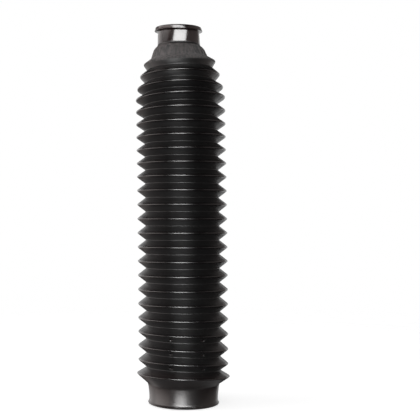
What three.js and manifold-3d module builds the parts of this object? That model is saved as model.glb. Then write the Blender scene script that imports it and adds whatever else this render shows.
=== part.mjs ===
// Fork gaiter: a rubber bellows, moulded in one piece, that keeps dirt off a motorbike's fork.
// The lower cuff grips the fork slider, the folds open and close with the fork,
// and the upper cuff grips the fork tube. Small vents in the lowest folds let it breathe.
// Millimetres, +Z up. The gaiter stands on its lower cuff, with its axis on Z.

import * as THREE from "three";
import { mergeVertices } from "three/addons/utils/BufferGeometryUtils.js";
import Module from "manifold-3d";

const wasm = await Module();
wasm.setup();

// The round shape is turned in this many flats, and each vent sits in the middle of one
const turnSides = 32;
const arcSteps = 4;
const flareSteps = 3;
const mergeTolerance = 1e-3;

// Walls, square to the surface
const foldWall = 1.5;
const lowerCuffWall = 2.0;
const upperCuffWall = 1.9;

// Lower cuff: a waist for the clamp band, which flares down to a lip and up to the lowest fold
const lowerBoreRadius = 31.0;
const lowerCuffHeight = 19.2;
const waistHeight = 3.8;
const lowerCuffFlare = 1.6;
const lipHeight = 0.7;
const lipProud = 1.2;
const lipBevel = 0.35;
const lowerFlankRise = 9.3;

// Folds, counted from the bottom: evenly spaced at first, then ever closer towards the top.
// All flanks are as long, so a fold stands deeper where it has closed up
const foldCount = 24;
const crestRadius = 43.8;
const flankLength = 10.9;
const crestLand = 0.9;
const lowestCrestProud = 1.4;
const lowerPitch = 13.5;
const upperPitch = 11.1;
const evenShare = 0.5;

// The top folds grow smaller towards the shoulder
const taperedFolds = 3;
const taperDrop = 9.0;
const taperDepthLoss = 3.8;
const taperPower = 1.5;

// Shoulder: a cone with a rounded top edge, between the highest fold and the upper cuff
const topFlankRise = 5.2;
const shoulderFootRadius = 28.2;
const shoulderHeight = 11.2;
const shoulderRound = 5.2;

// Upper cuff: a neck for the clamp band, under a bead that stops the band slipping off
const upperBoreRadius = 17.5;
const neckHeight = 14.6;
const neckFlare = 0.8;
const beadHeight = 5.0;
const beadProud = 3.2;
const beadUndercut = 2.0;
const beadDraft = 0.5;
const beadRound = 1.2;
const mouthChamfer = 0.6;

// Vents: rows of small holes in the undersides of the lowest folds but one
const ventRadius = 1.4;
const ventSides = 8;
const ventsPerRow = 8;
const ventRows = 3;
const lowestVentFold = 1;
const ventAlongFlank = 0.55;
const drillOvercut = 2.0;

const point = (radius, height) => new THREE.Vector2(radius, height);

// A round stretch of outline, with both of its ends
function arc(centre, radius, fromAngle, toAngle) {
  const points = [];
  for (let step = 0; step <= arcSteps; step += 1) {
    const angle = fromAngle + ((toAngle - fromAngle) * step) / arcSteps;
    points.push(point(centre.x + radius * Math.cos(angle), centre.y + radius * Math.sin(angle)));
  }
  return points;
}

// A flare leaves a straight wall smoothly and widens towards its end, which is left out
function flare(start, end) {
  const points = [];
  for (let step = 0; step < flareSteps; step += 1) {
    const share = step / flareSteps;
    const radius = start.x + (end.x - start.x) * share * share;
    points.push(point(radius, start.y + (end.y - start.y) * share));
  }
  return points;
}

// How far a place near the top has shrunk: 1 at the highest fold, 0 below the tapered ones
function taperAt(foldsFromTop) {
  return Math.max(0, 1 - foldsFromTop / taperedFolds) ** taperPower;
}

// Height gained from one crest to the next
function pitchAbove(fold) {
  const share = fold / (foldCount - 2);
  const closing = Math.max(0, share - evenShare) / (1 - evenShare);
  return lowerPitch - (lowerPitch - upperPitch) * closing;
}

function makeCrests() {
  const crests = [];
  let height = lowerCuffHeight + lowerFlankRise;
  for (let fold = 0; fold < foldCount; fold += 1) {
    const proud = fold === 0 ? lowestCrestProud : 0;
    const drop = taperDrop * taperAt(foldCount - 1 - fold);
    crests.push(point(crestRadius + proud - drop, height));
    height += pitchAbove(fold);
  }
  return crests;
}

// The valley between each crest and the next one up
function makeValleys(crests) {
  return crests.slice(1).map((upper, index) => {
    const lower = crests[index];
    const openDepth = Math.sqrt(flankLength ** 2 - ((upper.y - lower.y) / 2) ** 2);
    const depth = openDepth - taperDepthLoss * taperAt(foldCount - 2 - index);
    const crestBeside = Math.min(crestRadius, (lower.x + upper.x) / 2);
    return point(crestBeside - depth, (lower.y + upper.y) / 2);
  });
}

// The wall line from a shoulder's foot up over its rounded edge to the neck
function makeShoulder(foot, neckRoot) {
  const centre = point(neckRoot.x, neckRoot.y - shoulderRound);
  const toFoot = foot.clone().sub(centre);
  const tangent = toFoot.angle() - 2 * Math.PI + Math.acos(shoulderRound / toFoot.length());
  return [foot, ...arc(centre, shoulderRound, tangent, Math.PI / 2)];
}

// A crest has a narrow land on its edge, which rounds it off
function withLand(below, crest, above) {
  return [below, above].map((neighbour) => {
    const share = crestLand / 2 / Math.abs(neighbour.y - crest.y);
    return crest.clone().lerp(neighbour, share);
  });
}

// The inside of the wall at a corner, one wall thickness in from both faces that meet there
function insideCorner(below, corner, above, wall) {
  const inward = (from, to) => {
    const along = to.clone().sub(from).normalize();
    return point(-along.y, along.x);
  };
  const lowerNormal = inward(below, corner);
  const upperNormal = inward(corner, above);
  const scale = wall / (1 + lowerNormal.dot(upperNormal));
  return corner.clone().add(lowerNormal.add(upperNormal).multiplyScalar(scale));
}

const waistRadius = lowerBoreRadius + lowerCuffWall;
const neckTopRadius = upperBoreRadius + upperCuffWall;
const lowerRoot = point(waistRadius + lowerCuffFlare, lowerCuffHeight);
const crests = makeCrests();
const valleys = makeValleys(crests);
const topCrest = crests[foldCount - 1];
const shoulderFoot = point(shoulderFootRadius, topCrest.y + topFlankRise);
const neckRoot = point(neckTopRadius + neckFlare, shoulderFoot.y + shoulderHeight);
const beadFoot = neckRoot.y + neckHeight;
const topHeight = beadFoot + beadHeight;

// Every corner of the thin wall, from the lower cuff's root to the neck's root
const folds = [crests[0], ...valleys.flatMap((valley, fold) => [valley, crests[fold + 1]])];
const corners = [lowerRoot, ...folds, ...makeShoulder(shoulderFoot, neckRoot)];

function lowerCuffOutline() {
  const waist = point(waistRadius, waistHeight);
  const lipEdge = point(waistRadius + lipProud, lipHeight);
  const lipFoot = point(lipEdge.x - lipBevel, 0);
  const [, ...lipFlare] = flare(waist, lipEdge);
  return [point(lowerBoreRadius, 0), lipFoot, lipEdge, ...lipFlare.reverse(), ...flare(waist, lowerRoot)];
}

function foldsOutline() {
  return corners.flatMap((corner, index) => {
    const isCrest = crests.includes(corner);
    return isCrest ? withLand(corners[index - 1], corner, corners[index + 1]) : [corner];
  });
}

function upperCuffOutline() {
  const beadRadius = neckTopRadius + beadProud;
  const roundCentre = point(beadRadius - beadDraft - beadRound, topHeight - beadRound);
  return [
    point(neckTopRadius, beadFoot),
    point(beadRadius, beadFoot + beadUndercut),
    ...arc(roundCentre, beadRound, 0, Math.PI / 2),
    point(upperBoreRadius + mouthChamfer, topHeight),
    point(upperBoreRadius, topHeight - mouthChamfer),
  ];
}

// The inside, from the upper cuff's bore down to the lower cuff's bore
function insideOutline() {
  const inner = corners
    .slice(1, -1)
    .map((corner, index) => insideCorner(corners[index], corner, corners[index + 2], foldWall));
  const lowerBoreTop = point(lowerBoreRadius, lowerRoot.y - foldWall);
  const upperBoreFoot = point(upperBoreRadius, neckRoot.y - foldWall);
  return [upperBoreFoot, ...inner.reverse(), lowerBoreTop];
}

function toSolid(geometry) {
  geometry.deleteAttribute("normal");
  geometry.deleteAttribute("uv");
  const merged = mergeVertices(geometry, mergeTolerance);
  return new wasm.Manifold(
    new wasm.Mesh({
      numProp: 3,
      vertProperties: new Float32Array(merged.attributes.position.array),
      triVerts: new Uint32Array(merged.index.array),
    }),
  );
}

function toGeometry(solid) {
  const mesh = solid.getMesh();
  const geometry = new THREE.BufferGeometry();
  geometry.setAttribute("position", new THREE.BufferAttribute(mesh.vertProperties, 3));
  geometry.setIndex(new THREE.BufferAttribute(mesh.triVerts, 1));
  geometry.computeVertexNormals();
  return geometry;
}

function makeBellows() {
  const outline = [
    ...lowerCuffOutline(),
    ...foldsOutline(),
    ...upperCuffOutline(),
    ...insideOutline(),
  ];
  outline.push(outline[0]);
  const geometry = new THREE.LatheGeometry(outline, turnSides, Math.PI / turnSides);
  geometry.rotateX(Math.PI / 2);
  return toSolid(geometry);
}

// One drill, square to the underside of a fold, at an angle round the axis from -Y
function makeVentDrill(fold, angle) {
  const crest = crests[fold];
  const valley = valleys[fold - 1];
  const middle = crest.clone().lerp(valley, ventAlongFlank);
  const slope = crest.clone().sub(valley).angle();
  const length = foldWall + 2 * drillOvercut;
  const drill = new THREE.CylinderGeometry(ventRadius, ventRadius, length, ventSides);
  drill.translate(0, foldWall / 2, 0);
  drill.rotateX(Math.PI / 2 + slope);
  drill.translate(0, -middle.x * Math.cos(Math.PI / turnSides), middle.y);
  drill.rotateZ(angle);
  return toSolid(drill);
}

function drillVents(bellows) {
  let drilled = bellows;
  for (let row = 0; row < ventRows; row += 1) {
    for (let vent = 0; vent < ventsPerRow; vent += 1) {
      const angle = (vent / ventsPerRow) * 2 * Math.PI;
      drilled = drilled.subtract(makeVentDrill(lowestVentFold + row, angle));
    }
  }
  return drilled;
}

const rubber = new THREE.MeshStandardMaterial({ color: 0x232122, roughness: 0.45, metalness: 0 });

const bellows = new THREE.Mesh(toGeometry(drillVents(makeBellows())), rubber);
bellows.name = "bellows";

const gaiter = new THREE.Group();
gaiter.name = "fork_gaiter";
gaiter.add(bellows);

export default gaiter;
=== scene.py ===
# %% [markdown]
# # A rubber fork gaiter
#
# A fork gaiter is the bellows that keeps grit off the sliding tubes of a motorbike's fork. It is moulded in one
# go from black rubber: a wide cuff that grips the slider, two dozen folds that open and close with the fork,
# a short shoulder, and a narrow neck with a bead that stops the clamp band slipping off.
#
# The lesson starts from the engineering model, which already has the right sizes. Blender could dress that model
# as it is, but its folds are sharp and turned in a few flats. So the same wall is turned again here,
# from the same sizes, with rounded folds, flared vents and the small sets that soft rubber takes.

# %% Open the engineering model
import math

import bmesh
import bpy
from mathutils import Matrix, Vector


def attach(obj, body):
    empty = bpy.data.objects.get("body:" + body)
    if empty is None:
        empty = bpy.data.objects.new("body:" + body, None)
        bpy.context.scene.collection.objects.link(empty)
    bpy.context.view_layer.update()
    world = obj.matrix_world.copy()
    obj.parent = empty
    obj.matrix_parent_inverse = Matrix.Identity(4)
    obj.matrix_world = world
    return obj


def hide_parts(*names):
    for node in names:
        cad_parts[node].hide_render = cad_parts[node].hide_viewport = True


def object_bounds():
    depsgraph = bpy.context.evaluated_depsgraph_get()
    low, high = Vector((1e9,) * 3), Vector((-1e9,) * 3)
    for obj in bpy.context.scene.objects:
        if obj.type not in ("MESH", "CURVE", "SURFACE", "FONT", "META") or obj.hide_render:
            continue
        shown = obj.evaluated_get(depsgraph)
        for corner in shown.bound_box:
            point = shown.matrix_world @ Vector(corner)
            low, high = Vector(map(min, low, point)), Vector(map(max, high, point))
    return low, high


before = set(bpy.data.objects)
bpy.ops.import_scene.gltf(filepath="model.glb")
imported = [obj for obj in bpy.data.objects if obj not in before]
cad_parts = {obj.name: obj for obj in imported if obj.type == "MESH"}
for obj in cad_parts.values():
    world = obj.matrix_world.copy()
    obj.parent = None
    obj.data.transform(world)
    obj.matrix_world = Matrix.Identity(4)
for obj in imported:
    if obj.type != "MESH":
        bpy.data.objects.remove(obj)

cad_low, cad_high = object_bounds()
print("engineering model:", [round(side * 1000, 1) for side in cad_high - cad_low], "mm")

# %% [markdown]
# ## Sizes
#
# Rubber parts are drawn in millimetres and Blender works in metres, so every size is written in millimetres
# and turned into metres once, by `mm`. Another way is to measure the engineering model's mesh, but then a size
# could no longer be changed by itself. The lower cuff and the folds have the very sizes of that model.
# The shoulder, the neck and the bead were measured once more for the picture, and differ by up to 1.6 mm.


# %% Sizes of the wall
def mm(length):
    """Millimetres in metres."""
    return length / 1000


LOWER_BORE_RADIUS = mm(31.0)
LOWER_CUFF_WALL = mm(2.0)
LOWER_CUFF_HEIGHT = mm(19.2)
LOWER_CUFF_FLARE = mm(1.6)
LOWER_ROOT_ROUND = mm(7.5)
WAIST_HEIGHT = mm(3.8)
LIP_PROUD = mm(1.2)
LIP_HEIGHT = mm(0.7)
LIP_BEVEL = mm(0.35)
LOWER_FLANK_RISE = mm(9.3)

FOLD_COUNT = 24
FOLD_WALL = mm(1.5)
CREST_RADIUS = mm(43.8)
LOWEST_CREST_PROUD = mm(1.4)
FLANK_LENGTH = mm(10.9)
LOWER_PITCH = mm(13.5)
UPPER_PITCH = mm(11.1)
EVEN_SHARE = 0.5
TAPERED_FOLDS = 3
TAPER_DROP = mm(9.0)
TAPER_DEPTH_LOSS = mm(3.8)
TAPER_POWER = 1.5

TOP_FLANK_RISE = mm(5.2)
SHOULDER_FOOT_RADIUS = mm(27.4)
SHOULDER_FOOT_ROUND = mm(2.0)
SHOULDER_HEIGHT = mm(11.2)
SHOULDER_EDGE_RADIUS = mm(24.4)
SHOULDER_EDGE_DROP = mm(3.1)
SHOULDER_ROUND = mm(9.0)

UPPER_BORE_RADIUS = mm(17.5)
UPPER_CUFF_WALL = mm(2.4)
NECK_HEIGHT = mm(14.6)
NECK_FLARE = mm(0.6)
NECK_FOOT_RISE = mm(0.8)
NECK_FOOT_ROUND = mm(3.0)
NECK_FOOT_LENGTH = mm(1.6)
NECK_FOOT_TAPER = mm(0.1)
BEAD_HEIGHT = mm(4.2)
BEAD_PROUD = mm(3.2)
BEAD_UNDERCUT = mm(0.4)
BEAD_UNDERCUT_ROUND = mm(0.8)
BEAD_DRAFT = mm(1.1)
BEAD_ROUND = mm(1.2)
BEAD_EDGE_ROUND = mm(0.3)
MOUTH_CHAMFER = mm(0.6)

TOTAL_HEIGHT = cad_high.z
MODEL_BEAD_HEIGHT = mm(5.0)
NECK_ROOT_HEIGHT = TOTAL_HEIGHT - MODEL_BEAD_HEIGHT - NECK_HEIGHT
SHOULDER_FOOT_HEIGHT = NECK_ROOT_HEIGHT - SHOULDER_HEIGHT
print("shoulder foot at", round(SHOULDER_FOOT_HEIGHT * 1000, 1), "mm, neck root at", round(NECK_ROOT_HEIGHT * 1000, 1))

# %% [markdown]
# ## Building node trees from a script
#
# The folds follow a rule, so they are made by Geometry Nodes, where each size is a slider that can be tried out.
# A tree is easier to read in the node editor than in a script, so a few short helpers keep the script readable:
# `start_tree` makes a tree with named inputs, and `add` puts in one node and wires it in the same line.


# %% Helpers for node trees
SOCKET_KINDS = {
    float: "NodeSocketFloat", int: "NodeSocketInt", Vector: "NodeSocketVector",
    "mesh": "NodeSocketGeometry", "material": "NodeSocketMaterial",
}


def start_tree(name, inputs):
    """A geometry tree with named inputs. Gives the tree, its inputs' outlets and the node that takes its result."""
    tree = bpy.data.node_groups.new(name, "GeometryNodeTree")
    for label, value in inputs.items():
        plain = not isinstance(value, str)
        kind = SOCKET_KINDS[type(value) if plain else value]
        socket = tree.interface.new_socket(label, in_out="INPUT", socket_type=kind)
        if plain:
            socket.default_value = value
    tree.interface.new_socket("Result", in_out="OUTPUT", socket_type="NodeSocketGeometry")
    return tree, tree.nodes.new("NodeGroupInput").outputs, tree.nodes.new("NodeGroupOutput")


def feed(tree, socket, value):
    """Gives a socket a value or a wire."""
    if isinstance(value, bpy.types.NodeSocket):
        tree.links.new(value, socket)
    else:
        socket.default_value = value


def add(tree, kind, sockets=None, **settings):
    """A node with its settings. Its sockets go by name or number."""
    made = tree.nodes.new(kind)
    for name, value in settings.items():
        setattr(made, name, value)
    for key, value in (sockets or {}).items():
        feed(tree, made.inputs[key], value)
    return made


def calc(tree, operation, *values):
    """The result of one Math node."""
    return add(tree, "ShaderNodeMath", dict(enumerate(values)), operation=operation).outputs[0]


def vector_calc(tree, operation, *values):
    """The result of one Vector Math node: a number for a dot product, or else a vector."""
    made = add(tree, "ShaderNodeVectorMath", operation=operation)
    places = [0, "Scale"] if operation == "SCALE" else range(len(values))
    for place, value in zip(places, values):
        feed(tree, made.inputs[place], value)
    return made.outputs["Value" if operation == "DOT_PRODUCT" else "Vector"]


def switch(tree, kind, condition, otherwise, chosen):
    """One of two values or geometries."""
    sockets = {"Switch": condition, "False": otherwise, "True": chosen}
    return add(tree, "GeometryNodeSwitch", sockets, input_type=kind).outputs[0]


def store(tree, geometry, name, value):
    """The geometry with a number kept on each of its points, under a name."""
    sockets = {"Geometry": geometry, "Name": name, "Value": value}
    return add(tree, "GeometryNodeStoreNamedAttribute", sockets, data_type="FLOAT", domain="POINT").outputs[0]


def stored(tree, name):
    """The number that `store` kept, or 0 where none was."""
    return add(tree, "GeometryNodeInputNamedAttribute", {"Name": name}, data_type="FLOAT").outputs["Attribute"]


def use_group(tree, group, sockets):
    """The result of another tree, used as one node."""
    return add(tree, "GeometryNodeGroup", sockets, node_tree=group).outputs[0]


print("kinds of named inputs:", len(SOCKET_KINDS))

# %% [markdown]
# ## The line of the folds
#
# Seen in section, the folds are a zigzag: crest, valley, crest. On the real gaiter the flanks between them are all
# as long, because the mould was cut with one cutter, so a fold that stands closer to the next is also deeper.
# The folds sit evenly in the lower half and close up towards the top, and the last three shrink into the shoulder.
#
# The zigzag could be typed in as a list of points. As a rule it takes a handful of nodes: every corner of a
# straight row of points works out its own height and radius from its place in the row.


# %% Rules for one fold
def fold_sizes():
    """The named sizes that the rules of the folds need."""
    return {
        "Folds": FOLD_COUNT,
        "Crest radius": CREST_RADIUS,
        "Lowest crest proud": LOWEST_CREST_PROUD,
        "Flank length": FLANK_LENGTH,
        "Lower pitch": LOWER_PITCH,
        "Upper pitch": UPPER_PITCH,
        "Even share": EVEN_SHARE,
        "Tapered folds": TAPERED_FOLDS,
        "Taper drop": TAPER_DROP,
        "Taper depth loss": TAPER_DEPTH_LOSS,
        "Taper power": TAPER_POWER,
    }


def pitch_above(tree, size, fold):
    """Height gained from a crest to the next one."""
    share = calc(tree, "DIVIDE", fold, calc(tree, "SUBTRACT", size["Folds"], 2))
    closing = {"Value": share, "From Min": size["Even share"], "From Max": 1.0}
    pitches = {"To Min": size["Lower pitch"], "To Max": size["Upper pitch"]}
    return add(tree, "ShaderNodeMapRange", closing | pitches).outputs[0]


def taper_at(tree, size, folds_from_top):
    """How far a place has shrunk towards the shoulder: 1 at the highest fold, 0 below the tapered ones."""
    reach = {"Value": folds_from_top, "From Min": 0.0, "From Max": size["Tapered folds"], "To Min": 1.0, "To Max": 0.0}
    return calc(tree, "POWER", add(tree, "ShaderNodeMapRange", reach).outputs[0], size["Taper power"])


def crest_radius(tree, size, fold):
    """Radius of a crest: the lowest stands a little proud, the highest few shrink."""
    from_top = calc(tree, "SUBTRACT", calc(tree, "SUBTRACT", size["Folds"], 1), fold)
    drop = calc(tree, "MULTIPLY", size["Taper drop"], taper_at(tree, size, from_top))
    proud = calc(tree, "MULTIPLY", calc(tree, "LESS_THAN", fold, 0.5), size["Lowest crest proud"])
    return calc(tree, "SUBTRACT", calc(tree, "ADD", size["Crest radius"], proud), drop)


def valley_radius(tree, size, fold):
    """Radius of the valley above a crest."""
    half_pitch = calc(tree, "DIVIDE", pitch_above(tree, size, fold), 2)
    flank_squared = calc(tree, "POWER", size["Flank length"], 2)
    open_depth = calc(tree, "SQRT", calc(tree, "SUBTRACT", flank_squared, calc(tree, "POWER", half_pitch, 2)))
    from_top = calc(tree, "SUBTRACT", calc(tree, "SUBTRACT", size["Folds"], 2), fold)
    loss = calc(tree, "MULTIPLY", size["Taper depth loss"], taper_at(tree, size, from_top))
    above = crest_radius(tree, size, calc(tree, "ADD", fold, 1))
    beside = calc(tree, "DIVIDE", calc(tree, "ADD", crest_radius(tree, size, fold), above), 2)
    beside = calc(tree, "MINIMUM", size["Crest radius"], beside)
    return calc(tree, "SUBTRACT", beside, calc(tree, "SUBTRACT", open_depth, loss))


print("sizes that rule the folds:", len(fold_sizes()))

# %% [markdown]
# ### From the rules to a line
#
# Point 0 is the lower cuff's root, the last point is the shoulder's foot, and the corners lie between them.
# Accumulate Field adds up the half pitches below a corner, which gives its height. Each point also keeps marks
# that tell its finish: a rubbed crest, the matt shoulder, or the lowest flank, which is as polished as the cuff.


# %% The fold line
HALF_POLISHED = 0.45


def make_fold_line_tree():
    """Outside of the folds in section, from the lower cuff's root to the shoulder's foot."""
    sizes = fold_sizes() | {"First crest height": 0.0, "Start": Vector(), "End": Vector()}
    tree, size, result = start_tree("Fold line", sizes)
    corners = calc(tree, "SUBTRACT", calc(tree, "MULTIPLY", size["Folds"], 2), 1)
    row = add(tree, "GeometryNodeMeshLine", {"Count": calc(tree, "ADD", corners, 2)}).outputs[0]

    index = tree.nodes.new("GeometryNodeInputIndex").outputs[0]
    corner = calc(tree, "SUBTRACT", index, 1)
    fold = calc(tree, "FLOOR", calc(tree, "DIVIDE", corner, 2))
    half_pitch = calc(tree, "DIVIDE", pitch_above(tree, size, fold), 2)
    counted = calc(tree, "MULTIPLY", half_pitch, calc(tree, "GREATER_THAN", index, 0.5))
    climbed = add(tree, "GeometryNodeAccumulateField", {"Value": counted}, domain="POINT").outputs["Trailing"]

    is_valley = calc(tree, "SUBTRACT", corner, calc(tree, "MULTIPLY", fold, 2))
    radius = switch(tree, "FLOAT", is_valley, crest_radius(tree, size, fold), valley_radius(tree, size, fold))
    height = calc(tree, "ADD", size["First crest height"], climbed)
    place = add(tree, "ShaderNodeCombineXYZ", {"X": radius, "Z": height}).outputs[0]

    is_first = calc(tree, "LESS_THAN", index, 0.5)
    is_last = calc(tree, "GREATER_THAN", index, calc(tree, "ADD", corners, 0.5))
    place = switch(tree, "VECTOR", is_first, place, size["Start"])
    place = switch(tree, "VECTOR", is_last, place, size["End"])
    line = add(tree, "GeometryNodeSetPosition", {"Geometry": row, "Position": place}).outputs[0]

    is_corner = calc(tree, "SUBTRACT", 1, calc(tree, "ADD", is_first, is_last))
    is_crest = calc(tree, "MULTIPLY", is_corner, calc(tree, "SUBTRACT", 1, is_valley))
    line = store(tree, line, "crest", is_crest)
    is_matt = calc(tree, "GREATER_THAN", index, calc(tree, "SUBTRACT", corners, 0.5))
    line = store(tree, line, "shoulder", is_matt)
    is_lowest = calc(tree, "MULTIPLY", calc(tree, "LESS_THAN", index, 1.5), HALF_POLISHED)
    tree.links.new(store(tree, line, "cuff", is_lowest), result.inputs[0])
    return tree


fold_line_tree = make_fold_line_tree()
print("fold line tree:", len(fold_line_tree.nodes), "nodes")

# %% [markdown]
# ## The inside of the wall
#
# The wall is as thick everywhere, measured square to its surface. A Solidify modifier could thicken a single skin,
# but it blunts the inside of tight folds. Moving every corner in along the line that halves its angle
# keeps both faces at exactly one wall thickness, as the core of the real mould does.


# %% The inside line
def make_inside_line_tree():
    """The fold line moved in by one wall thickness, with its two ends put where they are told."""
    sizes = {"Line": "mesh", "Wall": FOLD_WALL, "Start": Vector(), "End": Vector()}
    tree, size, result = start_tree("Inside line", sizes)
    index = tree.nodes.new("GeometryNodeInputIndex").outputs[0]
    here = tree.nodes.new("GeometryNodeInputPosition").outputs[0]

    def neighbour(step):
        place = {"Value": here, "Index": calc(tree, "ADD", index, step)}
        return add(tree, "GeometryNodeFieldAtIndex", place, data_type="FLOAT_VECTOR", domain="POINT").outputs[0]

    def inward(start, end):
        along = vector_calc(tree, "NORMALIZE", vector_calc(tree, "SUBTRACT", end, start))
        return vector_calc(tree, "CROSS_PRODUCT", along, (0.0, 1.0, 0.0))

    below, above = inward(neighbour(-1), here), inward(here, neighbour(1))
    halving = vector_calc(tree, "ADD", below, above)
    spread = calc(tree, "ADD", vector_calc(tree, "DOT_PRODUCT", below, above), 1)
    shift = vector_calc(tree, "SCALE", halving, calc(tree, "DIVIDE", size["Wall"], spread))
    place = vector_calc(tree, "ADD", here, shift)

    count = add(tree, "GeometryNodeAttributeDomainSize", {0: size["Line"]}, component="MESH").outputs["Point Count"]
    place = switch(tree, "VECTOR", calc(tree, "LESS_THAN", index, 0.5), place, size["Start"])
    is_last = calc(tree, "GREATER_THAN", index, calc(tree, "SUBTRACT", count, 1.5))
    place = switch(tree, "VECTOR", is_last, place, size["End"])
    line = add(tree, "GeometryNodeSetPosition", {"Geometry": size["Line"], "Position": place}).outputs[0]
    line = store(tree, line, "shoulder", 0.0)
    line = store(tree, line, "cuff", 0.0)
    tree.links.new(store(tree, line, "crest", 0.0), result.inputs[0])
    return tree


inside_line_tree = make_inside_line_tree()
print("inside line tree:", len(inside_line_tree.nodes), "nodes")

# %% [markdown]
# ## The two cuffs in section
#
# The cuffs follow no rule: each is a handful of corners that do a job. The lower cuff has a waist for its clamp
# band between a flare and a small lip. The upper cuff has a neck for its band under a bead, and stands on a
# rounded shoulder. So they are drawn corner by corner, each with the radius that its edge is rounded to,
# and with a mark that tells the rubber's finish there: polished cuff, or matt shoulder. The matt finish ends
# on the slope, two thirds of the way from the shoulder's edge to the neck, as the mould was polished from the top.
# The neck's rounded foot carries neither mark, so it takes the folds' darker colour: painted shade in the crease
# under the neck.


# %% Corners of the cuffs
def inside_corner(below, corner, above, wall):
    """A corner of the outside moved in by one wall thickness from both faces that meet there."""
    def inward(start, end):
        along = (end - start).normalized()
        return Vector((-along.z, 0, along.x))
    lower, upper = inward(below, corner), inward(corner, above)
    return corner + (lower + upper) * (wall / (1 + lower.dot(upper)))


def at(radius, height):
    """A place in the section, which lies in the XZ plane."""
    return Vector((radius, 0, height))


waist_radius = LOWER_BORE_RADIUS + LOWER_CUFF_WALL
neck_top_radius = UPPER_BORE_RADIUS + UPPER_CUFF_WALL
lower_root = at(waist_radius + LOWER_CUFF_FLARE, LOWER_CUFF_HEIGHT)
lower_root_inside = at(LOWER_BORE_RADIUS, LOWER_CUFF_HEIGHT - FOLD_WALL)
top_crest = at(CREST_RADIUS - TAPER_DROP, SHOULDER_FOOT_HEIGHT - TOP_FLANK_RISE)
shoulder_foot = at(SHOULDER_FOOT_RADIUS, SHOULDER_FOOT_HEIGHT)
shoulder_edge = at(SHOULDER_EDGE_RADIUS, NECK_ROOT_HEIGHT - SHOULDER_EDGE_DROP)
neck_foot = at(neck_top_radius + NECK_FLARE, NECK_ROOT_HEIGHT + NECK_FOOT_RISE)
bore_foot = at(UPPER_BORE_RADIUS, NECK_ROOT_HEIGHT - FOLD_WALL)
shoulder_foot_inside = inside_corner(top_crest, shoulder_foot, shoulder_edge, FOLD_WALL)
edge_inside = inside_corner(shoulder_foot, shoulder_edge, neck_foot, FOLD_WALL)
print("inside of the shoulder's edge at", [round(value * 1000, 2) for value in edge_inside], "mm")

# %% Sections of the cuffs
SMALL_ROUND = mm(0.35)
FLARE_STEPS = 6
MATT_SHARE = 0.68


def flare(start, end, finish):
    """Corners of a flare that leaves a straight wall smoothly, without its two ends."""
    corners = []
    for step in range(1, FLARE_STEPS):
        share = step / FLARE_STEPS
        place = start + at((end.x - start.x) * share**2, (end.z - start.z) * share)
        corners.append((place, 0.0, *finish))
    return corners


def lower_cuff_section():
    """Corners from the inside of the folds, down the bore, round the lip and up to the lowest fold."""
    polished = (HALF_POLISHED, 0.0)
    waist = at(waist_radius, WAIST_HEIGHT)
    lip_edge = at(waist_radius + LIP_PROUD, LIP_HEIGHT)
    lip_foot = at(lip_edge.x - LIP_BEVEL, 0)
    return [
        (lower_root_inside, 0.0, *polished),
        (at(LOWER_BORE_RADIUS, 0), SMALL_ROUND / 2, *polished),
        (lip_foot, SMALL_ROUND / 2, *polished),
        (lip_edge, SMALL_ROUND / 2, *polished),
        *reversed(flare(waist, lip_edge, polished)),
        (waist, 0.0, *polished),
        *flare(waist, lower_root, polished),
        (lower_root, LOWER_ROOT_ROUND, *polished),
    ]


def upper_cuff_section():
    """Corners from the outside of the folds over the shoulder, the neck and the bead, and down the bore."""
    polished, matt = (1.0, 0.0), (0.0, 1.0)
    bead_radius = neck_top_radius + BEAD_PROUD
    bead_foot = at(neck_top_radius, TOTAL_HEIGHT - BEAD_HEIGHT)
    return [
        (shoulder_foot, SHOULDER_FOOT_ROUND, *matt),
        (shoulder_edge, SHOULDER_ROUND, *matt),
        (shoulder_edge.lerp(neck_foot, MATT_SHARE), 0.0, *matt),
        # The neck's rounded foot carries neither mark, so it takes the folds' darker colour: painted shade in the
        # crease under the neck
        (neck_foot, NECK_FOOT_ROUND, 0.0, 0.0),
        (neck_foot + at(-NECK_FOOT_TAPER, NECK_FOOT_LENGTH), 0.0, *polished),
        (bead_foot, BEAD_UNDERCUT_ROUND, *polished),
        (at(bead_radius, bead_foot.z + BEAD_UNDERCUT), BEAD_EDGE_ROUND, *polished),
        (at(bead_radius - BEAD_DRAFT, TOTAL_HEIGHT), BEAD_ROUND, *polished),
        (at(UPPER_BORE_RADIUS + MOUTH_CHAMFER, TOTAL_HEIGHT), SMALL_ROUND / 2, *polished),
        (at(UPPER_BORE_RADIUS, TOTAL_HEIGHT - MOUTH_CHAMFER), SMALL_ROUND / 2, *polished),
        (bore_foot, 0.0, *polished),
        (edge_inside, SHOULDER_ROUND - FOLD_WALL, 0.0, 0.0),
        (shoulder_foot_inside, 0.0, 0.0, 0.0),
    ]


def make_sections():
    """Both cuffs in section, as an object whose points keep their radius and finish."""
    mesh = bpy.data.meshes.new("bellows_wall")
    corners, edges = [], []
    for section in (lower_cuff_section(), upper_cuff_section()):
        first = len(corners)
        corners += section
        edges += [(index, index + 1) for index in range(first, len(corners) - 1)]
    mesh.from_pydata([corner[0] for corner in corners], edges, [])
    for column, name in enumerate(("round", "cuff", "shoulder"), 1):
        values = mesh.attributes.new(name, "FLOAT", "POINT").data
        values.foreach_set("value", [corner[column] for corner in corners])
    made = bpy.data.objects.new("bellows_wall", mesh)
    bpy.context.scene.collection.objects.link(made)
    return made


bellows = make_sections()
print("cuff sections:", len(bellows.data.vertices), "corners")

# %% [markdown]
# ## The vents
#
# As the fork dives, the gaiter pumps air in and out through small holes in the undersides of its lowest folds,
# where spray can't get in. A drill, which is a pin with a flared mouth, is placed square to the flank at every vent,
# and one Boolean takes them all out of the wall. The flared mouths keep the polish of the pins that moulded them,
# so each catches a small spark of light.


# %% One drill
PIN_SIDES = 24


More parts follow.
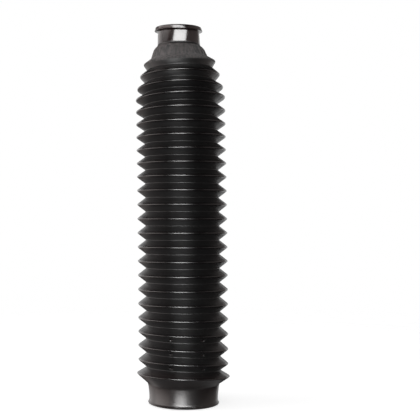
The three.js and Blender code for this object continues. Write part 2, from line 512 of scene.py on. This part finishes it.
def make_drill(tree, size):
    """A pin with a flared mouth, whose origin is in the middle of the wall's outside and whose Z points outwards."""
    length = calc(tree, "ADD", size["Wall"], calc(tree, "MULTIPLY", size["Overcut"], 2))
    pin = {"Vertices": PIN_SIDES, "Radius": size["Vent radius"], "Depth": length}
    pin = add(tree, "GeometryNodeMeshCylinder", pin).outputs[0]
    sink = add(tree, "ShaderNodeCombineXYZ", {"Z": calc(tree, "MULTIPLY", size["Wall"], -0.5)}).outputs[0]
    pin = add(tree, "GeometryNodeTransform", {"Geometry": pin, "Translation": sink}).outputs[0]
    depth = calc(tree, "MULTIPLY", size["Mouth depth"], 2)
    flared = {"Vertices": PIN_SIDES, "Radius Bottom": size["Vent radius"], "Depth": depth}
    widening = calc(tree, "SUBTRACT", size["Mouth radius"], size["Vent radius"])
    flared["Radius Top"] = calc(tree, "ADD", size["Mouth radius"], widening)
    mouth = add(tree, "GeometryNodeMeshCone", flared).outputs[0]
    sink = add(tree, "ShaderNodeCombineXYZ", {"Z": calc(tree, "MULTIPLY", size["Mouth depth"], -1)}).outputs[0]
    mouth = add(tree, "GeometryNodeTransform", {"Geometry": mouth, "Translation": sink}).outputs[0]
    drill = add(tree, "GeometryNodeMeshBoolean", {"Mesh 2": pin}, operation="UNION", solver="EXACT")
    tree.links.new(mouth, drill.inputs["Mesh 2"])
    return store(tree, drill.outputs[0], "cuff", 1.0)


print("a drill has", PIN_SIDES, "sides")


# %% Drills for the vents
def make_drills_tree():
    """Rings of drills, square to the undersides of the lowest folds."""
    tree, size, result = start_tree("Vent drills", {
        "Line": "mesh", "Wall": FOLD_WALL, "Vent radius": mm(1.4), "Mouth radius": mm(2.2), "Mouth depth": mm(0.7),
        "Overcut": mm(2.0), "Rows": 3, "Vents in a row": 8, "Lowest fold": 1, "Along flank": 0.55,
    })
    index = tree.nodes.new("GeometryNodeInputIndex").outputs[0]
    here = tree.nodes.new("GeometryNodeInputPosition").outputs[0]
    count = calc(tree, "MULTIPLY", size["Rows"], size["Vents in a row"])
    row = calc(tree, "FLOOR", calc(tree, "DIVIDE", index, size["Vents in a row"]))
    fold = calc(tree, "ADD", size["Lowest fold"], row)
    turned = calc(tree, "DIVIDE", calc(tree, "MULTIPLY", index, math.tau), size["Vents in a row"])
    turned = calc(tree, "SUBTRACT", turned, math.pi / 2)

    def corner(step):
        place = {"Geometry": size["Line"], "Value": here}
        place["Index"] = calc(tree, "ADD", calc(tree, "MULTIPLY", fold, 2), step)
        return add(tree, "GeometryNodeSampleIndex", place, data_type="FLOAT_VECTOR", domain="POINT").outputs[0]

    def turn(vector):
        sockets = {"Vector": vector, "Angle": turned}
        return add(tree, "ShaderNodeVectorRotate", sockets, rotation_type="Z_AXIS").outputs[0]

    valley, crest = corner(0), corner(1)
    mix = {"Factor": size["Along flank"], 4: crest, 5: valley}
    middle = add(tree, "ShaderNodeMix", mix, data_type="VECTOR").outputs[1]
    along = vector_calc(tree, "NORMALIZE", vector_calc(tree, "SUBTRACT", valley, crest))
    outward = vector_calc(tree, "CROSS_PRODUCT", along, (0.0, 1.0, 0.0))

    points = add(tree, "GeometryNodeMeshLine", {"Count": count}).outputs[0]
    points = add(tree, "GeometryNodeSetPosition", {"Geometry": points, "Position": turn(middle)}).outputs[0]
    facing = add(tree, "FunctionNodeAlignRotationToVector", {"Vector": turn(outward)}, axis="Z").outputs[0]
    placed = {"Points": points, "Instance": make_drill(tree, size), "Rotation": facing}
    drills = add(tree, "GeometryNodeInstanceOnPoints", placed).outputs[0]
    tree.links.new(add(tree, "GeometryNodeRealizeInstances", {0: drills}).outputs[0], result.inputs[0])
    return tree


drills_tree = make_drills_tree()
print("vent drills tree:", len(drills_tree.nodes), "nodes")

# %% [markdown]
# ## The sets that rubber takes
#
# A gaiter that has been folded, boxed and stood up is never quite straight. Here the foot lifts a little on the
# left, the lowest folds have risen in front and sunk on the right, the highest ones have risen on the right,
# the bead nods forwards and the axis leans to the left.
# A lattice could bend the wall by hand. Curves by height are simpler to correct: how far the wall has risen there
# as a whole, how much further its front and its right side have risen, and how far it stands off to the right.


# %% Sets by height
VIEW_AZIMUTH = math.radians(17.5)
FRONT = Vector((math.sin(VIEW_AZIMUTH), -math.cos(VIEW_AZIMUTH), 0))
RIGHT = Vector((math.cos(VIEW_AZIMUTH), math.sin(VIEW_AZIMUTH), 0))
SET_REACH = mm(6.0)

# Height of the wall, then its sets there: whole, front, right side and lean, all in millimetres
SETS = [
    (0, 0.9, 0, -0.9, 0), (19, 0.9, 0, -0.7, 0), (28, -0.6, 2.6, -1.8, -0.1),
    (42, -1.7, 2.9, -2.4, -0.2), (56, -1.3, 1.7, -2.2, -0.3), (69, -1.1, 1.4, -1.6, -0.35),
    (83, -0.9, 1.3, -0.9, -0.4), (110, -0.05, 0.7, -0.25, -0.6), (150, 0.1, 0.65, -0.1, -1),
    (191, 0.25, -0.1, -0.05, -1.45), (217, 0.55, -0.15, -0.05, -1.85), (242, 0.85, -0.2, 0.5, -2.3),
    (267, 1.1, 0.5, 0.65, -2.7), (279, 1.35, 1.4, 1.1, -2.9), (291, 1.7, 1.9, 1.9, -3.15),
    (302, 0.2, 2.7, 1.6, -3.4), (314, 1.2, 1.1, 1.7, -3.7), (325, 2.2, 0.5, 2.6, -4.05),
    (331, 1.9, 0.4, 2.1, -4.35), (341, 1.6, 1.2, 0.6, -4.7), (356, 0.65, -2, 0, -5.1),
    (360.6, 0.65, -1.6, 0, -5.1),
]


def height_curve(tree, share, column):
    """One of the sets, as a number that follows the height of the wall."""
    curve_node = add(tree, "ShaderNodeFloatCurve", {"Value": share})
    curve = curve_node.mapping.curves[0]
    places = [(row[0] / SETS[-1][0], 0.5 + mm(row[column]) / (2 * SET_REACH)) for row in SETS]
    while len(curve.points) < len(places):
        curve.points.new(0.5, 0.5)
    for point, place in zip(curve.points, places):
        point.location = place
    curve_node.mapping.update()
    sockets = {"Value": curve_node.outputs[0], "To Min": -SET_REACH, "To Max": SET_REACH}
    return add(tree, "ShaderNodeMapRange", sockets).outputs[0]


def make_sets_tree():
    """The wall with its folds leant, its neck nodded and its axis bowed, and a faint waviness all over."""
    tree, size, result = start_tree("Sets", {
        "Wall": "mesh", "Height": TOTAL_HEIGHT, "Spread": CREST_RADIUS, "Waviness": mm(0.25), "Seed": 4.0,
    })
    here = tree.nodes.new("GeometryNodeInputPosition").outputs[0]
    height = add(tree, "ShaderNodeSeparateXYZ", {0: here}).outputs["Z"]
    share = calc(tree, "DIVIDE", height, size["Height"])

    def towards(direction):
        return calc(tree, "DIVIDE", vector_calc(tree, "DOT_PRODUCT", here, direction), size["Spread"])

    front = calc(tree, "MULTIPLY", towards(FRONT), height_curve(tree, share, 2))
    right = calc(tree, "MULTIPLY", towards(RIGHT), height_curve(tree, share, 3))
    rise = calc(tree, "ADD", height_curve(tree, share, 1), calc(tree, "ADD", front, right))
    rise = add(tree, "ShaderNodeCombineXYZ", {"Z": rise}).outputs[0]
    lean = vector_calc(tree, "SCALE", tuple(RIGHT), height_curve(tree, share, 4))

    waves = {"Vector": here, "W": size["Seed"], "Scale": 22.0, "Detail": 1.0}
    ripple = add(tree, "ShaderNodeTexNoise", waves, noise_dimensions="4D").outputs["Color"]
    ripple = vector_calc(tree, "SUBTRACT", ripple, (0.5, 0.5, 0.5))
    off_floor = add(tree, "ShaderNodeMapRange", {"Value": share, "From Max": 0.05}).outputs[0]
    ripple = vector_calc(tree, "SCALE", ripple, calc(tree, "MULTIPLY", size["Waviness"], off_floor))

    moved = vector_calc(tree, "ADD", vector_calc(tree, "ADD", rise, lean), ripple)
    wall = add(tree, "GeometryNodeSetPosition", {"Geometry": size["Wall"], "Offset": moved}).outputs[0]
    tree.links.new(wall, result.inputs[0])
    return tree


sets_tree = make_sets_tree()
print("sets tree:", len(sets_tree.nodes), "nodes")

# %% [markdown]
# ## Turning the wall
#
# The two fold lines and the two cuffs meet end to end in one closed section. Its corners are rounded while it is
# still a line, which costs a few points, where a Bevel on the finished wall would have to find every edge again.
# Curve to Mesh then sweeps it round a small circle, as a lathe would, and the drills cut the vents.


# %% One closed section
WELD_DISTANCE = mm(0.01)


def rounded_section(tree, size, outside, inside):
    """Both fold lines and both cuffs as one closed curve with rounded corners."""
    rounding = switch(tree, "FLOAT", stored(tree, "crest"), size["Valley round"], size["Crest round"])
    rounded_outside = store(tree, outside, "round", rounding)
    rounded_inside = store(tree, inside, "round", size["Inside round"])
    joined = add(tree, "GeometryNodeJoinGeometry", {0: size["Sections"]})
    tree.links.new(rounded_inside, joined.inputs[0])
    tree.links.new(rounded_outside, joined.inputs[0])
    weld = {"Geometry": joined.outputs[0], "Distance": WELD_DISTANCE}
    section = add(tree, "GeometryNodeMergeByDistance", weld).outputs[0]
    section = add(tree, "GeometryNodeMeshToCurve", {"Mesh": section}).outputs[0]
    fillet = {"Curve": section, "Count": size["Round steps"], "Radius": stored(tree, "round"), "Limit Radius": True}
    return add(tree, "GeometryNodeFilletCurve", fillet, mode="POLY").outputs[0]


print("corners within", WELD_DISTANCE * 1000, "mm of each other become one")


# %% The lathe and the finish
def turn_section(tree, size, section):
    """A section swept round a small circle, which stands for the lathe's spindle."""
    here = tree.nodes.new("GeometryNodeInputPosition").outputs[0]
    parts = add(tree, "ShaderNodeSeparateXYZ", {0: here}).outputs
    across = calc(tree, "SUBTRACT", parts["X"], size["Turning radius"])
    flat = add(tree, "ShaderNodeCombineXYZ", {"X": across, "Y": calc(tree, "MULTIPLY", parts["Z"], -1)}).outputs[0]
    section = add(tree, "GeometryNodeSetPosition", {"Geometry": section, "Position": flat}).outputs[0]
    circle = {"Resolution": size["Flats"], "Radius": size["Turning radius"]}
    circle = add(tree, "GeometryNodeCurvePrimitiveCircle", circle).outputs["Curve"]
    wall = add(tree, "GeometryNodeCurveToMesh", {"Curve": circle, "Profile Curve": section}).outputs[0]
    return add(tree, "GeometryNodeMergeByDistance", {"Geometry": wall, "Distance": WELD_DISTANCE}).outputs[0]


def finish_wall(tree, size, wall):
    """A wall with smooth rounds, sharp edges where it bends more than a limit, and its rubber."""
    wall = add(tree, "GeometryNodeSetShadeSmooth", {"Geometry": wall}, domain="FACE").outputs[0]
    bend = tree.nodes.new("GeometryNodeInputMeshEdgeAngle").outputs["Unsigned Angle"]
    is_sharp = calc(tree, "GREATER_THAN", bend, size["Smooth below"])
    sharp = {"Geometry": wall, "Selection": is_sharp, "Shade Smooth": False}
    wall = add(tree, "GeometryNodeSetShadeSmooth", sharp, domain="EDGE").outputs[0]
    wall = add(tree, "GeometryNodeRealizeInstances", {0: wall}).outputs[0]
    return add(tree, "GeometryNodeSetMaterial", {"Geometry": wall, "Material": size["Rubber"]}).outputs[0]


print("ready to turn, drill, set and finish the wall")


# %% The whole wall
def make_bellows_tree():
    """The gaiter's wall from the sections of its cuffs: folds, rounding, turning, vents, sets and finish."""
    own = {
        "Sections": "mesh", "First crest height": LOWER_CUFF_HEIGHT + LOWER_FLANK_RISE, "Wall": FOLD_WALL,
        "Lower root": lower_root, "Shoulder foot": shoulder_foot,
        "Lower root inside": lower_root_inside, "Shoulder foot inside": shoulder_foot_inside,
        "Crest round": mm(1.0), "Valley round": mm(0.35), "Inside round": mm(0.9), "Round steps": 5,
        "Flats": 128, "Turning radius": mm(1.0), "Smooth below": math.radians(40), "Rubber": "material",
    }
    tree, size, result = start_tree("Bellows", own | fold_sizes())
    rules = {name: size[name] for name in fold_sizes()}
    ends = {"First crest height": size["First crest height"], "Start": size["Lower root"], "End": size["Shoulder foot"]}
    outside = use_group(tree, fold_line_tree, rules | ends)
    inside_ends = {"Start": size["Lower root inside"], "End": size["Shoulder foot inside"]}
    inside = use_group(tree, inside_line_tree, {"Line": outside, "Wall": size["Wall"]} | inside_ends)

    wall = turn_section(tree, size, rounded_section(tree, size, outside, inside))
    drills = use_group(tree, drills_tree, {"Line": outside, "Wall": size["Wall"]})
    cut = {"Mesh 1": wall, "Mesh 2": drills}
    wall = add(tree, "GeometryNodeMeshBoolean", cut, operation="DIFFERENCE", solver="MANIFOLD").outputs[0]
    wall = finish_wall(tree, size, use_group(tree, sets_tree, {"Wall": wall}))
    tree.links.new(wall, result.inputs[0])
    return tree


bellows_tree = make_bellows_tree()
print("bellows tree:", len(bellows_tree.nodes), "nodes")

# %% [markdown]
# ## The rubber
#
# Moulded rubber is nearly black, but never one flat black. It is glossy where the mould was polished, as on the
# cuffs, satin on the folds, and dull and streaky where the mould was left rough, as on the shoulder. Handling rubs
# the crests a little paler and smoother, and a fine grain breaks up the highlights. A material for each finish
# would need seams between them. One material reads the marks that the points carry (crest, cuff, shoulder),
# so each finish stays where it belongs and fades into the next, however the wall is bent.


# %% Helpers for the material
def shade(tree, low, high, share):
    """A number between two, by a share from 0 to 1."""
    return add(tree, "ShaderNodeMapRange", {"Value": share, "To Min": low, "To Max": high}).outputs[0]


def blend(tree, share, first, second):
    """One of two colours, or a mix of them."""
    made = add(tree, "ShaderNodeMix", data_type="RGBA")
    for place, value in ((0, share), (6, first), (7, second)):
        feed(tree, made.inputs[place], value)
    return made.outputs[2]


def mark(tree, name):
    """A mark that the points carry, as a number."""
    return add(tree, "ShaderNodeAttribute", attribute_name=name).outputs["Fac"]


def noise(tree, place, scale, detail=2.0):
    """Noise in the object's own space."""
    return add(tree, "ShaderNodeTexNoise", {"Vector": place, "Scale": scale, "Detail": detail}).outputs[0]


RING_SCALE = 700.0


def turning_marks(tree, place):
    """Faint rings that the cutter left in the mould: noise that only knows the radius and the height."""
    parts = add(tree, "ShaderNodeSeparateXYZ", {0: place}).outputs
    round_axis = add(tree, "ShaderNodeCombineXYZ", {"X": parts["X"], "Y": parts["Y"]}).outputs[0]
    radius = add(tree, "ShaderNodeVectorMath", {0: round_axis}, operation="LENGTH").outputs["Value"]
    ring = add(tree, "ShaderNodeCombineXYZ", {"X": radius, "Z": parts["Z"]}).outputs[0]
    return noise(tree, ring, RING_SCALE, 1.0)


print("noise for the rings:", RING_SCALE, "to the metre")

# %% Rubber
# Colours of the finishes, linear
DEEP_BLACK = (0.0024, 0.0018, 0.0021, 1)
FOLD_BLACK = (0.0045, 0.0034, 0.0038, 1)
CUFF_BLACK = (0.034, 0.021, 0.020, 1)
RUBBED_BLACK = (0.016, 0.013, 0.014, 1)
DULL_BLACK = (0.085, 0.068, 0.066, 1)

# Roughness, lowest and highest, where a finish is cloudy
FOLD_ROUGHNESS = (0.36, 0.44)
CUFF_ROUGHNESS = (0.18, 0.24)
SHOULDER_ROUGHNESS = (0.9, 1.0)
CREST_ROUGHNESS = 0.22

# How tightly a mark keeps to its own points, how fine each pattern is, and how deep the bumps are
CREST_TIGHTNESS = 14.0
SHOULDER_TIGHTNESS = 12.0
CLOUD_SCALE = 60.0
STREAK_SCALE = 420.0
STREAK_STRETCH = 0.18
GRAIN_SCALE = 1400.0
GRAIN_SHARE = 0.22
RING_SHARE = 0.2
BUMP_DEPTH = mm(0.12)
BUMP_STRENGTH = 0.22


def make_rubber():
    """Black moulded rubber: dark satin folds with rubbed crests, polished cuffs and a matt shoulder."""
    material = bpy.data.materials.new("black_rubber")
    material.use_nodes = True
    tree = material.node_tree
    shader = tree.nodes["Principled BSDF"]
    place = tree.nodes.new("ShaderNodeTexCoord").outputs["Object"]
    cuff = mark(tree, "cuff")
    shoulder = calc(tree, "POWER", mark(tree, "shoulder"), SHOULDER_TIGHTNESS)
    crest = calc(tree, "POWER", mark(tree, "crest"), CREST_TIGHTNESS)

    cloud = noise(tree, place, CLOUD_SCALE)
    streaks = add(tree, "ShaderNodeMapping", {"Vector": place, "Scale": (1.0, 1.0, STREAK_STRETCH)}).outputs[0]
    streaks = noise(tree, streaks, STREAK_SCALE, 2.0)
    streaks = add(tree, "ShaderNodeMapRange", {"Value": streaks, "From Min": 0.35, "From Max": 0.65}).outputs[0]
    colour = blend(tree, cloud, DEEP_BLACK, FOLD_BLACK)
    colour = blend(tree, cuff, colour, CUFF_BLACK)
    rubbed = calc(tree, "MULTIPLY", crest, shade(tree, 0.3, 1.0, cloud))
    colour = blend(tree, rubbed, colour, RUBBED_BLACK)
    dull = calc(tree, "MULTIPLY", shoulder, shade(tree, 0.0, 1.0, streaks))
    colour = blend(tree, dull, colour, DULL_BLACK)
    tree.links.new(colour, shader.inputs["Base Color"])

    roughness = shade(tree, *FOLD_ROUGHNESS, cloud)
    roughness = shade(tree, roughness, CREST_ROUGHNESS, crest)
    roughness = shade(tree, roughness, shade(tree, *CUFF_ROUGHNESS, cloud), cuff)
    roughness = shade(tree, roughness, shade(tree, *SHOULDER_ROUGHNESS, streaks), shoulder)
    tree.links.new(roughness, shader.inputs["Roughness"])

    grain = calc(tree, "MULTIPLY", noise(tree, place, GRAIN_SCALE), GRAIN_SHARE)
    bumps = calc(tree, "ADD", grain, calc(tree, "MULTIPLY", streaks, shoulder))
    bumps = calc(tree, "ADD", bumps, calc(tree, "MULTIPLY", turning_marks(tree, place), RING_SHARE))
    bump = {"Height": bumps, "Strength": BUMP_STRENGTH, "Distance": BUMP_DEPTH}
    tree.links.new(add(tree, "ShaderNodeBump", bump).outputs[0], shader.inputs["Normal"])
    shader.inputs["Specular IOR Level"].default_value = 0.5
    return material


rubber = make_rubber()
print("rubber:", len(rubber.node_tree.nodes), "nodes")

# %% [markdown]
# ## From the tree to a plain mesh
#
# A modifier's inputs are set by the identifiers of its sockets. The evaluated object gives a plain mesh,
# and the modifier goes. Faces have to point out of the rubber: in a closed mesh with a positive volume they do.
# Smooth shading alone would tilt the light on a flat flank towards its rounded edges. Weighted Normal lets the
# wide faces decide, so the flanks look as flat as they are.


# %% Make the wall
def make_wall():
    """The gaiter's wall as a plain mesh, with its faces pointing outwards."""
    modifier = bellows.modifiers.new("Bellows", "NODES")
    modifier.node_group = bellows_tree
    inputs = [item for item in bellows_tree.interface.items_tree if item.in_out == "INPUT"]
    sockets = {item.name: item.identifier for item in inputs}
    modifier[sockets["Rubber"]] = rubber
    shading = bellows.modifiers.new("Flat flanks", "WEIGHTED_NORMAL")
    shading.keep_sharp = True
    evaluated = bellows.evaluated_get(bpy.context.evaluated_depsgraph_get())
    mesh = bpy.data.meshes.new_from_object(evaluated)
    bellows.modifiers.clear()
    old, bellows.data = bellows.data, mesh
    bpy.data.meshes.remove(old)

    shape = bmesh.new()
    shape.from_mesh(mesh)
    if shape.calc_volume(signed=True) < 0:
        bmesh.ops.reverse_faces(shape, faces=shape.faces)
    shape.to_mesh(mesh)
    open_edges = sum(not edge.is_manifold for edge in shape.edges)
    volume = shape.calc_volume(signed=True)
    shape.free()
    return open_edges, volume


open_edges, volume = make_wall()
triangles = sum(len(face.vertices) - 2 for face in bellows.data.polygons)
print("wall:", triangles, "triangles,", open_edges, "open edges,", round(volume * 1e6, 1), "cubic centimetres")

# %% [markdown]
# ## Place it
#
# The new wall stands in for the engineering model's, which stays for collision but is no longer seen.

# %% Ride, replace and name the finish
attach(bellows, "root")
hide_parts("bellows")
print("bellows rides on the root")

# %% [markdown]
# ## Studio
#
# Black rubber shows little of its own colour. What the eye reads as its shape is what it mirrors, so product
# photographers light it twice: plain soft lamps for the colour, and bright and dark boards for the reflections.
#
# The floor is white paper. A backdrop could rise behind it, but its bend would show, so the paper fades into
# surroundings that are just as white. It keeps the gaiter's shadow.


# %% Floor
PAPER_GLOW = 0.74
FADE_START, FADE_END = 0.15, 0.9


def seen_directly(tree, otherwise, seen):
    """One value for what the camera, a reflection or a pane of glass sees, and another for the light it casts."""
    rays = tree.nodes.new("ShaderNodeLightPath").outputs
    direct = calc(tree, "MAXIMUM", rays["Is Camera Ray"], rays["Is Glossy Ray"])
    direct = calc(tree, "MAXIMUM", direct, rays["Is Transmission Ray"])
    return shade(tree, otherwise, seen, direct)


def make_floor():
    """A white paper floor that keeps the shadow, and fades into the white surroundings away from the gaiter."""
    reach = 2.0
    mesh = bpy.data.meshes.new("floor")
    corners = [(-reach, -reach, 0), (reach, -reach, 0), (reach, reach, 0), (-reach, reach, 0)]
    mesh.from_pydata(corners, [], [(0, 1, 2, 3)])
    floor = bpy.data.objects.new("floor", mesh)
    bpy.context.scene.collection.objects.link(floor)
    paper = bpy.data.materials.new("white_paper")
    paper.use_nodes = True
    tree = paper.node_tree
    shader = tree.nodes["Principled BSDF"]
    shader.inputs["Base Color"].default_value = (0.88, 0.88, 0.88, 1)
    shader.inputs["Roughness"].default_value = 0.9
    shader.inputs["Specular IOR Level"].default_value = 0.0
    shader.inputs["Emission Color"].default_value = (1, 1, 1, 1)
    tree.links.new(seen_directly(tree, 0.0, PAPER_GLOW), shader.inputs["Emission Strength"])
    place = tree.nodes.new("ShaderNodeTexCoord").outputs["Object"]
    away = add(tree, "ShaderNodeVectorMath", {0: place}, operation="LENGTH").outputs["Value"]
    fade = {"Value": away, "From Min": FADE_START, "From Max": FADE_END, "To Min": 1.0, "To Max": 0.0}
    fade = add(tree, "ShaderNodeMapRange", fade, interpolation_type="SMOOTHSTEP").outputs[0]
    tree.links.new(fade, shader.inputs["Alpha"])
    mesh.materials.append(paper)
    # In the rubber's shine the black cloth under the floor shows instead
    floor.visible_glossy = floor.visible_shadow = False
    return floor


floor = make_floor()
print("floor:", [round(side, 1) for side in floor.dimensions], "m")

# %% [markdown]
# ### Surroundings
#
# Light Path tells the world what asks for its colour, so it is white to look at, yet dim as a lamp. Black cloth
# hangs round the gaiter, open on the left and behind it. Only reflections see it, and it makes the right side of
# every fold deep black. Three small flags stand by the shoulder: the collar under it and the velvet in front keep
# the neck's bright boards off the folds and the matt slope, and the strip above ends the bead's highlight.
# They block lamps as well, because a lamp lights straight through a flag that casts no shadow.


# %% Surroundings
WORLD_LIGHT = 0.25
WORLD_SHINE = 1.0


def make_world():
    """White to look at and in reflections, and dim as a light."""
    world = bpy.data.worlds.new("studio")
    world.use_nodes = True
    bpy.context.scene.world = world
    tree = world.node_tree
    rays = tree.nodes.new("ShaderNodeLightPath").outputs
    seen = calc(tree, "MAXIMUM", rays["Is Camera Ray"], rays["Is Transmission Ray"])
    strength = shade(tree, shade(tree, WORLD_LIGHT, WORLD_SHINE, rays["Is Glossy Ray"]), 1.0, seen)
    background = tree.nodes["Background"]
    background.inputs["Color"].default_value = (1, 1, 1, 1)
    tree.links.new(strength, background.inputs["Strength"])


make_world()
print("world as a light:", WORLD_LIGHT, "and in reflections:", WORLD_SHINE)


# %% Black cloth
def black_cloth():
    """The stuff of every dark surface of the studio."""
    black = bpy.data.materials.new("black_cloth")
    black.use_nodes = True
    shader = black.node_tree.nodes["Principled BSDF"]
    shader.inputs["Base Color"].default_value = (0.01, 0.01, 0.01, 1)
    shader.inputs["Specular IOR Level"].default_value = 0.0
    return black


def hang(name, points, faces, cloth, blocks=False):
    """A black surface that only reflections see, and that may block lamps too."""
    mesh = bpy.data.meshes.new(name)
    mesh.from_pydata(points, [], faces)
    mesh.materials.append(cloth)
    made = bpy.data.objects.new(name, mesh)
    bpy.context.scene.collection.objects.link(made)
    made.visible_camera = made.visible_diffuse = made.visible_transmission = False
    made.visible_shadow = blocks


def ribbon(azimuths, inner, outer, steps=24):
    """A band between two rings, each a radius and a height, over a range of azimuths from the camera's."""
    first, last = azimuths
    points = []
    for step in range(steps + 1):
        turned = VIEW_AZIMUTH + math.radians(first + (last - first) * step / steps)
        for radius, height in (inner, outer):
            points.append((radius * math.sin(turned), -radius * math.cos(turned), height))
    return points, [(2 * step, 2 * step + 2, 2 * step + 3, 2 * step + 1) for step in range(steps)]


def sheet(height, reach=9.0):
    """A level square."""
    corners = [(-reach, -reach), (reach, -reach), (reach, reach), (-reach, reach)]
    return [(*corner, height) for corner in corners], [(0, 1, 2, 3)]


# Azimuths, then the radius and height of both edges, in metres
WALL = ((-62, 142), (3.0, -3.0), (3.0, 4.0))
CEILING, GROUND = 4.0, -3.0
FLAGS = {
    "black_collar": ((-120, 60), (0.05, 0.333), (0.47, 0.333)),
    "black_velvet": ((-24, 110), (0.064, 0.3335), (0.064, 0.3475)),
    "black_strip": ((-55, 55), (0.05, 0.3635), (0.05, 0.3742)),
}


def hang_black():
    """Cloth round the front and the right, above and below, and the small flags by the shoulder."""
    cloth = black_cloth()
    hang("black_wall", *ribbon(*WALL), cloth)
    hang("black_ceiling", *sheet(CEILING), cloth)
    hang("black_ground", *sheet(GROUND), cloth)
    for name, edges in FLAGS.items():
        hang(name, *ribbon(*edges), cloth, blocks=True)


hang_black()
print("black cloth, and flags:", list(FLAGS))

# %% [markdown]
# ### Lamps and boards
#
# A reflection depends only on the angles that a lamp fills as seen from the rubber, so each panel is given by
# those angles. Two lamps light the rubber's own colour. The others are only seen in its shine: a tall and a soft
# board in front draw the line down the crests, those on the left grey the left side, and the small ones close by
# draw the highlights of the neck, the bead, the lower cuff and its foot.


# %% Lamps and boards
WARM = (1.0, 0.9, 0.87)


def panel(name, azimuths, elevations, brightness, height=0.18, distance=1.3, shine_only=True, colour=(1, 1, 1)):
    """A soft panel that fills a range of azimuths and elevations, in degrees, as seen from a height on the gaiter.

    The azimuths are measured from the camera's, to the right.
    """
    turned = VIEW_AZIMUTH + math.radians(sum(azimuths) / 2)
    raised = math.radians(sum(elevations) / 2)
    half_turn = math.radians(azimuths[1] - azimuths[0]) / 2
    half_rise = math.radians(elevations[1] - elevations[0]) / 2
    back = Vector((math.sin(turned) * math.cos(raised), -math.cos(turned) * math.cos(raised), math.sin(raised)))
    light = bpy.data.lights.new(name, "AREA")
    light.shape = "RECTANGLE"
    light.color = colour
    light.size, light.size_y = 2 * distance * math.tan(half_turn), 2 * distance * math.tan(half_rise)
    light.energy = brightness * light.size * light.size_y * math.pi
    lamp = bpy.data.objects.new(name, light)
    lamp.location = Vector((0, 0, height)) + back * distance
    lamp.rotation_euler = back.to_track_quat("Z", "Y").to_euler()
    lamp.visible_camera = False
    if shine_only:
        lamp.visible_diffuse = lamp.visible_transmission = False
    else:
        lamp.visible_glossy = False
    bpy.context.scene.collection.objects.link(lamp)


panel("front_lamp", (-15, 35), (10, 50), 0.5, shine_only=False)
panel("left_lamp", (-110, -60), (-8, 28), 2.6, shine_only=False)
panel("tall_board", (-20, 12), (-10, 8), 34.0)
panel("soft_board", (-34, 26), (-10, 8), 9.0)
panel("neck_board", (-29, 36), (3, 25), 21.0, height=0.35, distance=0.5)
panel("bead_board", (-28, 18), (33, 47), 19.0, height=0.357, distance=0.5)
panel("cuff_board", (-24, 6), (-21, -10), 18.0, height=0.01, distance=0.35)
panel("foot_board", (-55, 55), (-145, -35), 0.22, height=0.03, distance=0.04)
panel("left_board", (-105, -46), (-30, 16), 2.2, colour=WARM)
panel("left_top_board", (-115, -42), (32, 54), 3.0, height=0.345, distance=0.5, colour=WARM)
panel("far_left_board", (-150, -105), (-50, 30), 0.6, colour=WARM)
panel("right_board", (50, 145), (-25, 48), 0.4, colour=WARM)

# %% [markdown]
# ## Camera
#
# The folds near the top show their undersides and those near the foot show their tops, so the camera stood about
# halfway up. How quickly that changes gives its distance, and the frame's size then gives its lens.


# %% Camera
# In metres, then the lens and its sensor in millimetres, then the aim in degrees
CAMERA_DISTANCE = 0.829
CAMERA_HEIGHT = 0.180
CAMERA_LENS = 73.7
CAMERA_SENSOR = 36.0
CAMERA_TILT = 0.39
CAMERA_AIM = 1.75


def make_camera():
    """The photograph's viewpoint."""
    camera = bpy.data.objects.new("camera", bpy.data.cameras.new("camera"))
    bpy.context.scene.collection.objects.link(camera)
    camera.data.lens = CAMERA_LENS
    camera.data.sensor_width = CAMERA_SENSOR
    camera.location = FRONT * CAMERA_DISTANCE + Vector((0, 0, CAMERA_HEIGHT))
    camera.rotation_euler = (math.radians(90 + CAMERA_TILT), 0, VIEW_AZIMUTH - math.radians(CAMERA_AIM))
    bpy.context.scene.camera = camera
    return camera


camera = make_camera()
bpy.context.scene.view_settings.view_transform = "Standard"
print("camera at", [round(value, 3) for value in camera.location])
